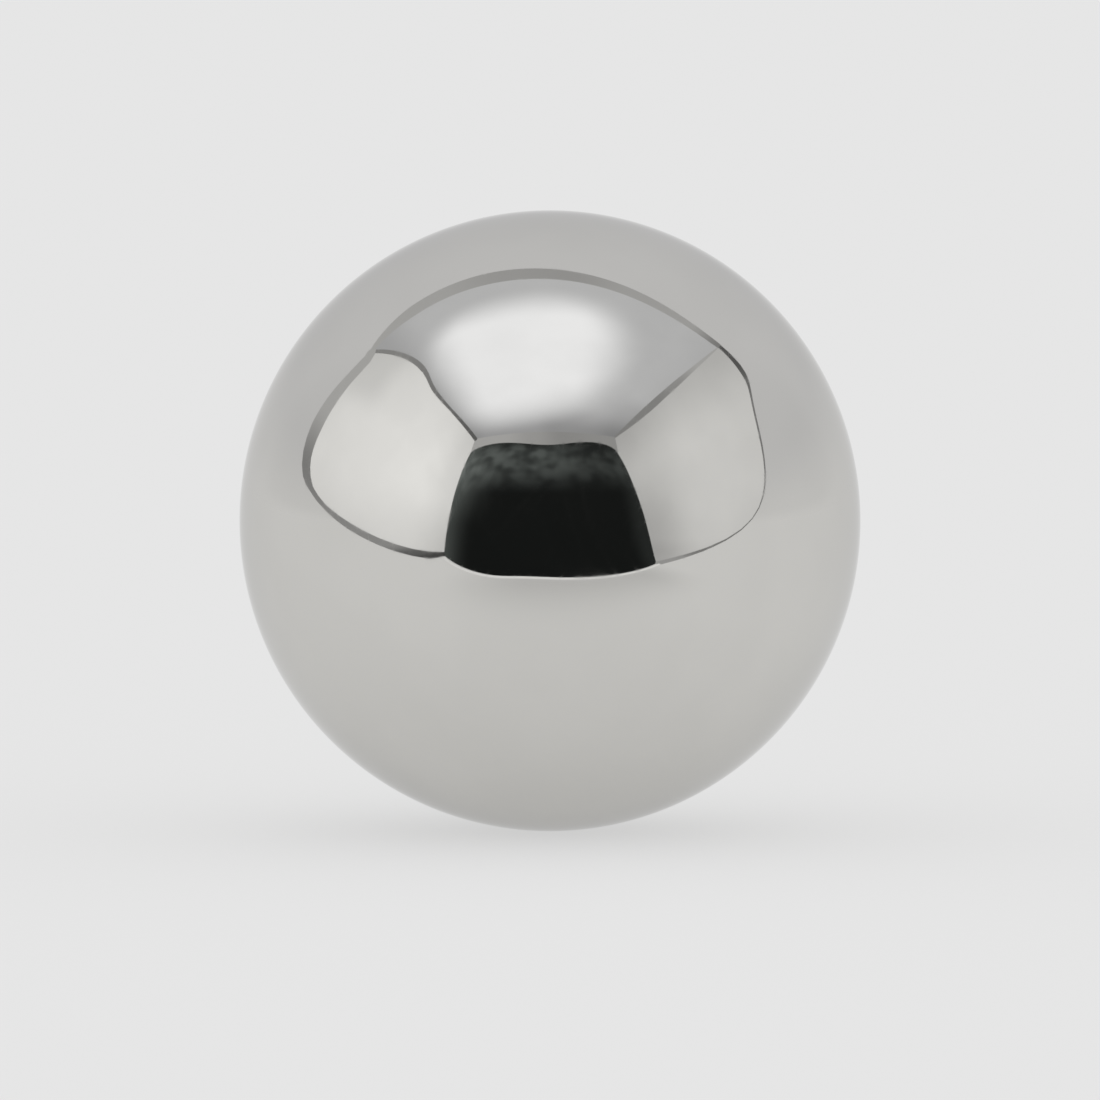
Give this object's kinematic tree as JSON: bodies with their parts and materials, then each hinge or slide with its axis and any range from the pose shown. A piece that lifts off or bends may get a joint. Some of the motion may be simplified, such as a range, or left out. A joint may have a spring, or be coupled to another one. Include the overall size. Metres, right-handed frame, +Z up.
{
  "type": "steel ball",
  "caption": "Solid steel ball polished to a mirror all over, for bearings, ball valves, slides and bench use.",
  "frame": {"origin": "centre of the ball", "axes": "+Z up, out through the top of the ball; the ball is the same about every axis through its centre"},
  "size_m": [0.0126, 0.0126, 0.0126],
  "materials": {
    "polished_steel": "polished"
  },
  "bodies": {
    "root": {"ball": "polished_steel"}
  },
  "joints": []
}
